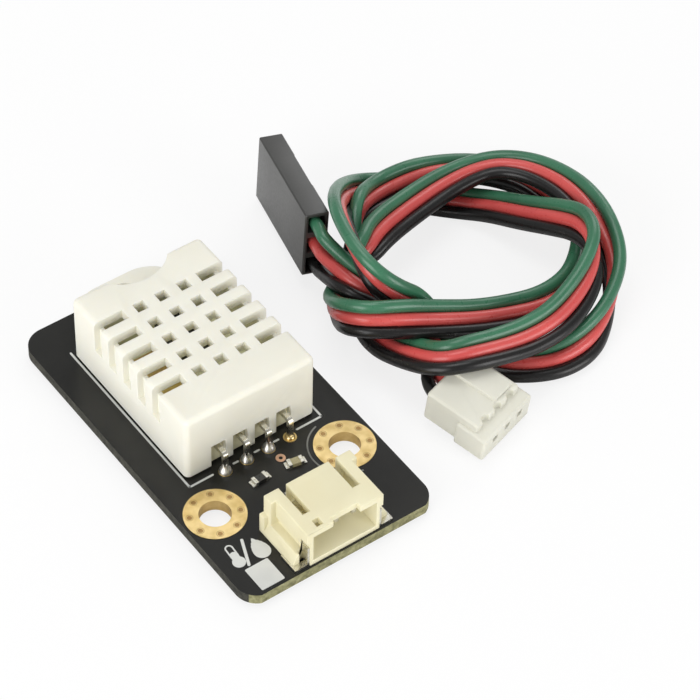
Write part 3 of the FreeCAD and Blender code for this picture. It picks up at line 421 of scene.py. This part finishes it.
# The red wire's stops between the two ends, in mm, and the ribbon's lean there, in degrees:
# 0 on edge with green on top, 90 flat with green on the left of its way, -90 on the right
stops = [
    (18.2, 9.0, 5.9, 5), (18.5, 4.0, 6.1, 100), (20.4, 2.3, 4.5, 100), (22.5, 0.5, 2.7, 70),
    (23.9, -2.7, 1.8, 65), (25.4, -6.3, 1.3, 70), (27.0, -9.5, 1.1, 75), (29.5, -11.6, 1.4, 70),
    (32.3, -12.7, 1.6, 60), (35.4, -12.7, 2.0, 40), (38.5, -11.3, 2.3, 10), (41.3, -9.2, 3.0, -10),
    (43.2, -6.9, 3.9, -25), (44.0, -4.3, 5.1, -45), (44.7, -0.8, 5.8, -65), (45.2, 3.6, 5.3, -78),
    (44.3, 7.8, 4.7, -86), (42.3, 10.6, 4.3, -95), (39.6, 11.8, 4.0, -95), (35.7, 11.8, 4.1, -86),
    (31.4, 10.9, 4.6, -78), (25.8, 9.5, 5.1, -68), (22.9, 7.9, 5.1, -20), (20.9, 7.9, 4.0, 18),
    (18.5, 7.4, 1.9, 5), (16.4, 4.7, 3.0, -20), (14.8, 1.1, 6.2, 0), (16.0, -1.6, 7.3, 15),
    (19.5, -3.2, 6.7, 40), (23.2, -4.2, 5.3, 60), (27.0, -5.3, 4.1, 70), (31.1, -6.0, 3.0, 70),
    (34.8, -6.5, 2.3, 60), (38.4, -6.0, 2.1, 45), (41.4, -4.2, 2.0, 40), (43.7, -1.3, 2.1, 20),
    (45.1, 2.2, 2.2, -25), (45.3, 5.8, 1.9, -55), (44.7, 9.0, 1.8, -75), (42.8, 11.4, 2.1, -85),
    (40.1, 13.5, 2.5, -90), (36.7, 14.5, 3.2, -85), (33.5, 15.1, 3.3, -60), (29.9, 15.2, 3.2, -60),
    (26.0, 13.5, 4.8, -15), (23.8, 11.5, 3.6, 5), (23.2, 10.0, 1.6, 40), (21.7, 7.2, 0.9, 85),
    (20.0, 3.7, 0.9, 85), (18.2, -1.2, 2.2, 90), (18.5, -5.6, 4.4, 80), (19.3, -9.2, 6.3, 80),
    (22.0, -10.5, 6.7, 80), (25.6, -10.9, 5.9, 75), (29.1, -11.0, 5.2, 65), (32.8, -10.8, 5.2, 60),
    (36.5, -9.6, 5.7, 45), (39.6, -7.8, 6.4, 25), (41.6, -5.3, 6.7, -5), (42.2, -2.3, 6.4, -35),
    (41.4, 0.5, 5.3, -55), (40.3, 4.0, 3.6, -70), (39.3, 7.9, 1.9, -80), (37.4, 11.0, 0.9, -85),
    (35.1, 13.3, 1.2, -70), (32.7, 15.9, 1.4, -65), (28.9, 17.6, 2.1, -55), (23.5, 13.7, 7.0, -25),
    (20.6, 9.3, 9.9, -30), (19.3, 5.4, 9.8, -20), (18.8, 2.3, 9.4, -8), (19.8, 0.3, 7.8, -12),
    (22.5, -1.0, 4.9, 60), (22.4, -4.6, 2.8, 80), (21.3, -5.9, 2.3, 140), (20.6, -7.5, 2.6, 145),
]


def wirePoints(share):
    # share is the wire's place in the ribbon, in pitches from the red one
    first, last = [end["mouth"] + end["way"] * end["straight"] for end in (socketEnd, plugEnd)]
    between = [Vector([value * mm for value in stop[:3]]) for stop in stops]
    places = [first, *between, last]
    across = [socketEnd["across"]]
    for before, after, stop in zip(places, places[2:], stops):
        along = (after - before).normalized()
        sideways = Vector((0, 0, 1)).cross(along).normalized()
        lean = math.radians(stop[3])
        across.append(sideways * math.sin(lean) + along.cross(sideways) * math.cos(lean))
    across.append(plugEnd["across"])
    even = len(places) - len(ribbon["startPitch"]) - len(ribbon["endPitch"])
    pitches = ribbon["startPitch"] + [ribbon["pitch"]] * even + ribbon["endPitch"]
    line = [place + way * share * pitch for place, way, pitch in zip(places, across, pitches)]
    seats = [point - end["way"] * (end["straight"] + ribbon["seat"])
             for point, end in ((line[0], socketEnd), (line[-1], plugEnd))]
    return [seats[0], *line, seats[1]]


def addWire(colour, share):
    points = wirePoints(share)
    curve = bpy.data.curves.new("lead_" + colour, "CURVE")
    curve.dimensions = "3D"
    curve.resolution_u = ribbon["runSteps"]
    curve.bevel_depth = ribbon["sheath"]
    curve.bevel_resolution = ribbon["roundSteps"]
    curve.use_fill_caps = True
    spline = curve.splines.new("NURBS")
    spline.points.add(len(points) - 1)
    for control, point in zip(spline.points, points):
        control.co = (*point, 1)
    spline.order_u = 3
    spline.use_endpoint_u = True
    wire = bpy.data.objects.new("lead_" + colour, curve)
    bpy.context.collection.objects.link(wire)
    curve.materials.append(finishes[colour])
    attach(wire, "cable")
    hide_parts("wire_" + colour)
    return wire, points


wires = {colour: addWire(colour, share) for colour, share in ribbon["order"].items()}
for colour, (wire, points) in wires.items():
    carried = [frame["nodes"][end + "_terminal_" + colour] for end in ("plug", "socket")]
    if colour == "red":
        carried += [frame["nodes"][end + "_housing"] for end in ("plug", "socket")]
print("wires laid")

# Small helpers for modelled pieces
smoothAngle = math.radians(35)      # between faces that are shaded as one surface


def clearSelection():
    bpy.ops.object.select_all(action="DESELECT")


def settle(piece, finish, body):
    # applies the piece's place and leaves it selected
    clearSelection()
    piece.select_set(True)
    bpy.context.view_layer.objects.active = piece
    bpy.ops.object.transform_apply(location=True, rotation=True, scale=True)
    piece.data.materials.clear()
    piece.data.materials.append(finishes[finish])
    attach(piece, body)


def editVertices(piece, chosen=lambda place: True):
    # enters edit mode with only the vertices whose place passes the test, or else all
    clearSelection()
    piece.select_set(True)
    bpy.context.view_layer.objects.active = piece
    bpy.ops.object.mode_set(mode="EDIT")
    bpy.ops.mesh.select_mode(type="VERT")
    bpy.ops.mesh.select_all(action="DESELECT")
    shape = bmesh.from_edit_mesh(piece.data)
    for vertex in shape.verts:
        vertex.select = chosen(piece.matrix_world @ vertex.co)
    shape.select_flush(True)
    bmesh.update_edit_mesh(piece.data)


def moveVertices(piece, chosen, step):
    editVertices(piece, chosen)
    bpy.ops.transform.translate(value=step)
    bpy.ops.object.mode_set(mode="OBJECT")


def addDisc(name, points, radius, place):
    clearSelection()
    bpy.ops.mesh.primitive_circle_add(vertices=points, radius=radius, fill_type="NGON",
                                      location=place)
    piece = bpy.context.object
    piece.name = name
    return piece


def hollow(piece, wall):
    # makes a disc a flat ring
    editVertices(piece)
    bpy.ops.mesh.inset(thickness=wall)
    bpy.ops.mesh.delete(type="FACE")
    bpy.ops.object.mode_set(mode="OBJECT")


def sizeAndRound(piece, sides, corner, steps, affect):
    # scales a unit plane or cube to its sides and rounds its corners or edges
    piece.scale = sides
    bpy.ops.object.transform_apply(location=False, rotation=False, scale=True)
    editVertices(piece)
    bpy.ops.mesh.bevel(offset=corner, segments=steps, affect=affect)
    bpy.ops.object.mode_set(mode="OBJECT")


def thicken(piece, height):
    modifier = piece.modifiers.new("thickness", "SOLIDIFY")
    modifier.thickness = height
    modifier.offset = 1
    bpy.context.view_layer.objects.active = piece
    bpy.ops.object.modifier_apply(modifier=modifier.name)


def copyOf(source, name):
    piece = source.copy()
    piece.data = source.data.copy()
    piece.name = name
    bpy.context.collection.objects.link(piece)
    return piece


# Printed marks on the board, in mm
marks = {
    "top": 1.7,
    "ink": 0.03,             # one coat
    "points": 40,            # on a disc's rim
    "ahead": 1e-9,           # rim points whose dot product with a bar's step is over this move
    "lineRadius": 0.11,
    "outline": [             # the sensor's printed outline, broken at its leads
        ((-7.74, -5.44), (-5.05, -5.42)), ((-2.6, -5.40), (-2.1, -5.40)),
        ((-0.1, -5.37), (0.4, -5.37)), ((2.2, -5.35), (2.7, -5.35)), ((4.95, -5.32), (7.9, -5.29)),
        ((-7.74, -5.44), (-7.74, 15.7)), ((7.9, -5.29), (7.9, 15.7)),
    ],
}
bars = {
    "slash_mark": {"middle": (-7.35, -13.68), "radius": 0.15, "end": (-8.48, -16.52)},
    "thermometer_tube": {"middle": (-9.00, -14.90), "radius": 0.43, "end": (-8.93, -13.85),
                         "wall": 0.15},
    "thermometer_bulb": {"middle": (-9.06, -15.72), "radius": 0.66, "coats": 1.3},
    "thermometer_column": {"middle": (-9.06, -15.72), "radius": 0.4128, "end": (-9.00, -14.80),
                           "coats": 1.6},
}
drop = {
    "middle": (-6.50, -15.85),
    "radius": 0.86,
    "reach": 1.75,           # from the middle to the tip
    # how many of the rim's highest points rise together, by which share of the tip's rise
    "rise": [(19, 0.10), (15, 0.16), (11, 0.20), (7, 0.18), (3, 0.30), (1, 0.16)],
    "slack": 0.0001,         # in the height of points that count as one row
}
square = {
    "middle": (-7.90, -18.30),
    "sides": (2.60, 2.95),
    "corner": 0.12,
    "steps": 4,
}
arc = {
    "middle": (7.62, -9.6),
    "radius": 3.65,
    "line": 0.16,
    "points": 120,
    "start": 105,            # degrees from +X
    "end": 265,
}


def onBoard(middle):
    return middle[0] * mm, middle[1] * mm, marks["top"] * mm


def inkBar(name, middle, radius, end=None, wall=0, coats=1.0):
    # a disc, drawn out to a round-ended bar where an end is given
    piece = addDisc(name, marks["points"], radius * mm, onBoard(middle))
    if end:
        step = Vector((end[0] - middle[0], end[1] - middle[1], 0)) * mm
        centre = Vector((*middle, 0)) * mm
        moveVertices(piece, lambda place: (place - centre).dot(step) > marks["ahead"], step)
    if wall:
        hollow(piece, wall * mm)
    thicken(piece, marks["ink"] * mm * coats)
    settle(piece, "silk", "board")


def inkDrop():
    piece = addDisc("drop_mark", marks["points"], drop["radius"] * mm, onBoard(drop["middle"]))
    for count, share in drop["rise"]:
        heights = sorted((vertex.co.y for vertex in piece.data.vertices), reverse=True)
        edge = heights[count - 1] + (drop["middle"][1] - drop["slack"]) * mm
        lift = (drop["reach"] - drop["radius"]) * share * mm
        moveVertices(piece, lambda place: place.y > edge, (0, lift, 0))
    thicken(piece, marks["ink"] * mm)
    settle(piece, "silk", "board")


def inkSquare():
    clearSelection()
    bpy.ops.mesh.primitive_plane_add(size=1, location=onBoard(square["middle"]))
    piece = bpy.context.object
    piece.name = "square_mark"
    sides = (square["sides"][0] * mm, square["sides"][1] * mm, 1)
    sizeAndRound(piece, sides, square["corner"] * mm, square["steps"], "VERTICES")
    thicken(piece, marks["ink"] * mm)
    settle(piece, "silk", "board")


def inkArc():
    outer = (arc["radius"] + arc["line"] / 2) * mm
    piece = addDisc("ring_arc", arc["points"], outer, onBoard(arc["middle"]))
    hollow(piece, arc["line"] * mm)
    x, y = onBoard(arc["middle"])[:2]

    def outside(place):
        angle = math.degrees(math.atan2(place.y - y, place.x - x)) % 360
        return not arc["start"] <= angle <= arc["end"]

    editVertices(piece, outside)
    bpy.ops.mesh.delete(type="VERT")
    bpy.ops.object.mode_set(mode="OBJECT")
    thicken(piece, marks["ink"] * mm)
    settle(piece, "greySilk", "board")


for i, (start, end) in enumerate(marks["outline"]):
    inkBar("case_outline_%d" % i, start, marks["lineRadius"], end)
for name, bar in bars.items():
    inkBar(name, **bar)
inkDrop()
inkSquare()
inkArc()
print("printed marks laid")

# Solder, in mm, from rings of radius and height: each lead has a dome under the board and
# a bell on it, or a low bead on the ground lead
leads = ("supply", "data", "spare", "ground")
solder = {
    "leadMiddle": 0.25,      # behind the lead's front
    "points": 32,
    "dome": [(0.30, 0.07), (0.62, 0.08), (0.82, 0.20), (0.92, 0.36), (0.94, 0.49), (0.45, 0.50)],
    "bell": [(0.45, 1.71), (0.62, 1.715), (0.66, 1.76), (0.66, 1.86), (0.61, 2.02), (0.52, 2.20),
             (0.42, 2.38), (0.34, 2.58), (0.28, 2.80), (0.26, 2.90), (0.20, 2.92)],
    "bead": [(0.45, 1.71), (0.50, 1.765), (0.51, 1.80), (0.48, 1.92), (0.40, 2.02), (0.28, 2.08),
             (0.20, 2.09)],
}
pads = {
    "points": 40,
    "radius": 0.68,
    "hole": 0.42,
    "thickness": 0.06,
    "bottom": 1.70,
}


def leadFoot(lead):
    low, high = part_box("lead_" + lead)
    return (low[0] + high[0]) / 2, low[1] + solder["leadMiddle"] * mm


def addSolder(lead, top, finish):
    x, y = leadFoot(lead)
    rings = solder["dome"] + solder[top]
    radius, height = rings[0]
    piece = addDisc("solder_" + lead, solder["points"], radius * mm, (x, y, height * mm))
    bpy.ops.object.mode_set(mode="EDIT")
    bpy.ops.mesh.select_all(action="SELECT")
    for (radius, height), (nextRadius, nextHeight) in zip(rings, rings[1:]):
        step = (0, 0, (nextHeight - height) * mm)
        growth = nextRadius / radius
        bpy.ops.mesh.extrude_region_move(TRANSFORM_OT_translate={"value": step})
        bpy.ops.transform.resize(value=(growth, growth, 1), center_override=(x, y, 0))
    bpy.ops.mesh.select_all(action="SELECT")
    bpy.ops.mesh.normals_make_consistent(inside=False)
    bpy.ops.object.mode_set(mode="OBJECT")
    settle(piece, finish, "board")
    bpy.ops.object.shade_smooth()
    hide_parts("solder_joints")


def addPad(lead):
    x, y = leadFoot(lead)
    place = (x, y, pads["bottom"] * mm)
    piece = addDisc("pad_" + lead, pads["points"], pads["radius"] * mm, place)
    hollow(piece, (pads["radius"] - pads["hole"]) * mm)
    thicken(piece, pads["thickness"] * mm)
    settle(piece, "gold", "board")
    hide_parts("lead_pads")


for lead in leads:
    if lead == "ground":
        addSolder(lead, "bead", "goldSolder")
    else:
        addSolder(lead, "bell", "solder")
for lead in leads:
    addPad(lead)
clearSelection()
print("solder set on the leads")

# Dished vias round the mounting holes, in mm, in a darker gold that is painted shade in their
# hollows: each hole's first is modelled, then copied
dishes = {
    "points": 24,
    "radius": 0.37,
    "floor": 0.22,           # radius of the dish's flat floor
    "depth": 0.05,
    "sheet": 0.012,
    "circle": 2.5,           # radius of the circle of vias
    "firstTurn": 22.0,
    "count": 8,
    "level": 1.762,
}


def dishPlace(centre, i):
    angle = math.radians(dishes["firstTurn"] + 360 / dishes["count"] * i)
    reach = dishes["circle"] * mm
    return centre[0] + reach * math.cos(angle), centre[1] + reach * math.sin(angle)


def addDish(name, x, y):
    place = (x, y, dishes["level"] * mm)
    piece = addDisc(name, dishes["points"], dishes["radius"] * mm, place)
    wall = (dishes["radius"] - dishes["floor"]) * mm
    editVertices(piece)
    bpy.ops.mesh.inset(thickness=wall, depth=-dishes["depth"] * mm)
    bpy.ops.object.mode_set(mode="OBJECT")
    thicken(piece, dishes["sheet"] * mm)
    settle(piece, "viaShadedGold", "board")
    return piece


for side in ("left", "right"):
    centre = nodeCentre("mounting_ring_" + side)
    firstX, firstY = dishPlace(centre, 0)
    first = addDish("via_dish_%s_0" % side, firstX, firstY)
    for i in range(1, dishes["count"]):
        x, y = dishPlace(centre, i)
        dish = copyOf(first, "via_dish_%s_%d" % (side, i))
        dish.location = (x - firstX, y - firstY, 0)
        settle(dish, "viaShadedGold", "board")
clearSelection()
print("vias dished")

# The shallow recess in the black housing's far side
recess = {
    "start": 4.8 * mm,       # from the wires' end
    "end": 10.2 * mm,
    "slope": 0.25 * mm,
    "depth": 0.3 * mm,
    "slack": 0.01 * mm,
}


def sinkRecess(piece):
    # starts and ends in edit mode
    mouth, way = socketEnd["mouth"], socketEnd["way"]
    outwards = -way.cross(socketEnd["across"]).normalized()
    floorStart, floorEnd = recess["start"] + recess["slope"], recess["end"] - recess["slope"]
    for along in (recess["start"], floorStart, floorEnd, recess["end"]):
        bpy.ops.mesh.select_all(action="SELECT")
        bpy.ops.mesh.bisect(plane_co=mouth - way * along, plane_no=way)
    bpy.ops.object.mode_set(mode="OBJECT")
    side = max(vertex.co.dot(outwards) for vertex in piece.data.vertices) - recess["slack"]

    def sunk(place):
        along = (mouth - place).dot(way)
        inside = floorStart - recess["slack"] <= along <= floorEnd + recess["slack"]
        return inside and place.dot(outwards) > side

    editVertices(piece, sunk)
    bpy.ops.transform.translate(value=outwards * -recess["depth"])


# Mouldings: a merged copy of each moulded solid, with its edges rounded over
rounding = {
    "merge": 0.002 * mm,
    "flat": math.radians(1.5),      # faces at less than this are made one
    "sharp": math.radians(28),      # edges over this are rounded
    "steps": 3,
}


def softCopy(node, name, finish, body, width, recessed=False):
    piece = copyOf(frame["nodes"][node], name)
    editVertices(piece)
    bpy.ops.mesh.remove_doubles(threshold=rounding["merge"])
    bpy.ops.mesh.dissolve_limited(angle_limit=rounding["flat"])
    if recessed:
        sinkRecess(piece)
    bpy.ops.object.mode_set(mode="OBJECT")
    edges = piece.modifiers.new("edges", "BEVEL")
    edges.width = width
    edges.segments = rounding["steps"]
    edges.limit_method = "ANGLE"
    edges.angle_limit = rounding["sharp"]
    bpy.ops.object.modifier_apply(modifier=edges.name)
    settle(piece, finish, body)
    bpy.ops.object.shade_smooth_by_angle(angle=smoothAngle)
    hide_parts(node)


softCopy("sensor_cover", "case_moulding", "ivory", "board", width=0.16 * mm)
softCopy("header_housing", "socket_moulding", "cream", "board", width=0.10 * mm)
softCopy("plug_housing", "plug_moulding", "plug", "cable", width=0.12 * mm)
softCopy("socket_housing", "housing_moulding", "shell", "cable",
         width=0.08 * mm, recessed=True)
clearSelection()
print("mouldings softened")

# Olive sheet behind each lead, in mm: painted shade for the darker patches where light comes
# through the thin moulding, with a faint painted glow
shadeSheet = {
    "width": 1.66,
    "height": 2.2,
    "depth": 0.3,
    "back": 0.62,            # its middle, behind the case's front
    "bottom": 2.02,
    "corner": 0.08,
    "steps": 2,
}


def addShadeSheet(lead):
    x = leadFoot(lead)[0]
    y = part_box("sensor_cover")[0][1] + shadeSheet["back"] * mm
    z = (shadeSheet["bottom"] + shadeSheet["height"] / 2) * mm
    clearSelection()
    bpy.ops.mesh.primitive_cube_add(size=1, location=(x, y, z))
    piece = bpy.context.object
    piece.name = "shade_sheet_" + lead
    sides = (shadeSheet["width"] * mm, shadeSheet["depth"] * mm, shadeSheet["height"] * mm)
    sizeAndRound(piece, sides, shadeSheet["corner"] * mm, shadeSheet["steps"], "EDGES")
    settle(piece, "shadeSheetTone", "board")
    bpy.ops.object.shade_smooth_by_angle(angle=smoothAngle)


for lead in leads:
    addShadeSheet(lead)
clearSelection()
print("shade_sheets set")

# Floor, backdrop and light
room = {
    "floorSize": 6,
    "floorColour": (0.93, 0.93, 0.93),
    "floorRoughness": 0.9,
    "floorGlow": 0.8,        # share of plain white in the floor as the camera sees it
    "worldLight": 0.42,
    "aim": (0.012, 0.0, 0.0),
}
lamps = {
    "overhead": {"place": (0.05, 0.12, 0.6), "size": 0.35, "watts": 1.0},
    "leftFill": {"place": (-0.48, -0.12, 0.20), "size": 0.4, "watts": 1.9},
    "rightRim": {"place": (0.45, 0.30, 0.35), "size": 0.3, "watts": 0.6},
    "frontFill": {"place": (0.22, -0.50, 0.13), "size": 0.35, "watts": 1.5},
}


def addFloor():
    clearSelection()
    bpy.ops.mesh.primitive_plane_add(size=room["floorSize"], location=(0, 0, 0))
    floor = bpy.context.object
    floor.name = "floor"
    finish = Finish("paleFloor")
    finish.set(Base_Color=room["floorColour"], Roughness=room["floorRoughness"])
    finish.set(Specular_IOR_Level=0.0)
    seen = finish.add("ShaderNodeLightPath", output="Is Camera Ray")
    glow = finish.add("ShaderNodeEmission", {}, {"Color": (1, 1, 1), "Strength": 1.0})
    blended = finish.tree.nodes.new("ShaderNodeMixShader")
    finish.feed(blended.inputs[0], seen * room["floorGlow"])
    finish.tree.links.new(finish.shader.outputs["BSDF"], blended.inputs[1])
    finish.tree.links.new(glow.socket, blended.inputs[2])
    finish.tree.links.new(blended.outputs[0], finish.output.inputs["Surface"])
    floor.data.materials.append(finish.material)


def addWorld():
    # plain white where the camera sees it, dimmer as a light
    world = bpy.data.worlds.new("softRoom")
    bpy.context.scene.world = world
    world.use_nodes = True
    tree = world.node_tree
    tree.nodes.clear()
    output = tree.nodes.new("ShaderNodeOutputWorld")
    path = tree.nodes.new("ShaderNodeLightPath")
    blended = tree.nodes.new("ShaderNodeMixShader")
    tree.links.new(path.outputs["Is Camera Ray"], blended.inputs[0])
    for socket, strength in ((blended.inputs[1], room["worldLight"]), (blended.inputs[2], 1.0)):
        background = tree.nodes.new("ShaderNodeBackground")
        background.inputs["Color"].default_value = (1, 1, 1, 1)
        background.inputs["Strength"].default_value = strength
        tree.links.new(background.outputs[0], socket)
    tree.links.new(blended.outputs[0], output.inputs["Surface"])


def addLamp(name, place, size, watts):
    data = bpy.data.lights.new(name, "AREA")
    data.shape = "SQUARE"
    data.size = size
    data.energy = watts
    lamp = bpy.data.objects.new(name, data)
    lamp.location = place
    aim = Vector(room["aim"]) - Vector(place)
    lamp.rotation_euler = aim.to_track_quat("-Z", "Y").to_euler()
    bpy.context.collection.objects.link(lamp)


addFloor()
addWorld()
for name, lamp in lamps.items():
    addLamp(name, **lamp)
print("floor and light set")
